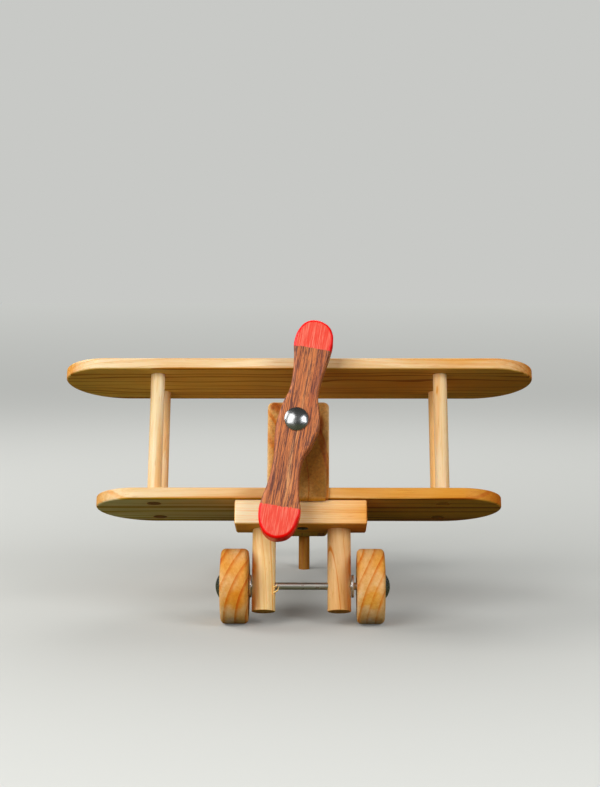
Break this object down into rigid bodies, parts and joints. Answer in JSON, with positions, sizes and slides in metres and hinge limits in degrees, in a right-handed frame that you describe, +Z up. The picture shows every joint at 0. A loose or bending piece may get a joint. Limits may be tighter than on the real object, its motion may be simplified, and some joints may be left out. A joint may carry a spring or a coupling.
{
  "type": "toy biplane",
  "caption": "Wooden toy biplane parked on its wheels and tail skid, with a turning S-shaped propeller, dowel struts and an open cockpit notch.",
  "frame": {"origin": "on the floor, at the bottom centre of the parked toy's bounding box", "axes": "+X runs along the wings to the pilot's left, -Y is where the nose points and +Z is up"},
  "size_m": [0.3282, 0.2874, 0.203],
  "materials": {
    "pine": "satin oiled pine with open grain",
    "propeller_wood": "satin dark streaked hardwood with red painted tips",
    "steel": "drawn steel rod",
    "zinc": "zinc-plated washer",
    "chrome": "polished domed cap"
  },
  "bodies": {
    "airframe": {"fuselage": "pine", "upper_wing": "pine", "lower_wing": "pine", "strut_front_left": "pine", "strut_front_right": "pine", "strut_rear_left": "pine", "strut_rear_right": "pine", "tailplane": "pine", "fin": "pine", "tail_skid": "pine", "chassis_block": "pine", "leg_left": "pine", "leg_right": "pine", "axle": "steel", "washer_left": "zinc", "washer_right": "zinc", "axle_cap_left": "chrome", "axle_cap_right": "chrome", "propeller_washer": "zinc", "propeller_pin": "steel", "propeller_cap": "chrome"},
    "propeller": {"propeller": "propeller_wood"},
    "wheel_left": {"wheel_left": "pine"},
    "wheel_right": {"wheel_right": "pine"}
  },
  "joints": [
    {"name": "propeller_spin", "type": "hinge", "parent": "airframe", "child": "propeller", "pos_m": [-0.001, -0.10856, 0.13501], "axis": [0, -0.9341, 0.357], "continuous": true},
    {"name": "wheel_left_spin", "type": "hinge", "parent": "airframe", "child": "wheel_left", "pos_m": [0.0486, -0.11398, 0.025], "axis": [1, 0, 0], "continuous": true},
    {"name": "wheel_right_spin", "type": "hinge", "parent": "airframe", "child": "wheel_right", "pos_m": [-0.0424, -0.11398, 0.025], "axis": [1, 0, 0], "continuous": true}
  ]
}
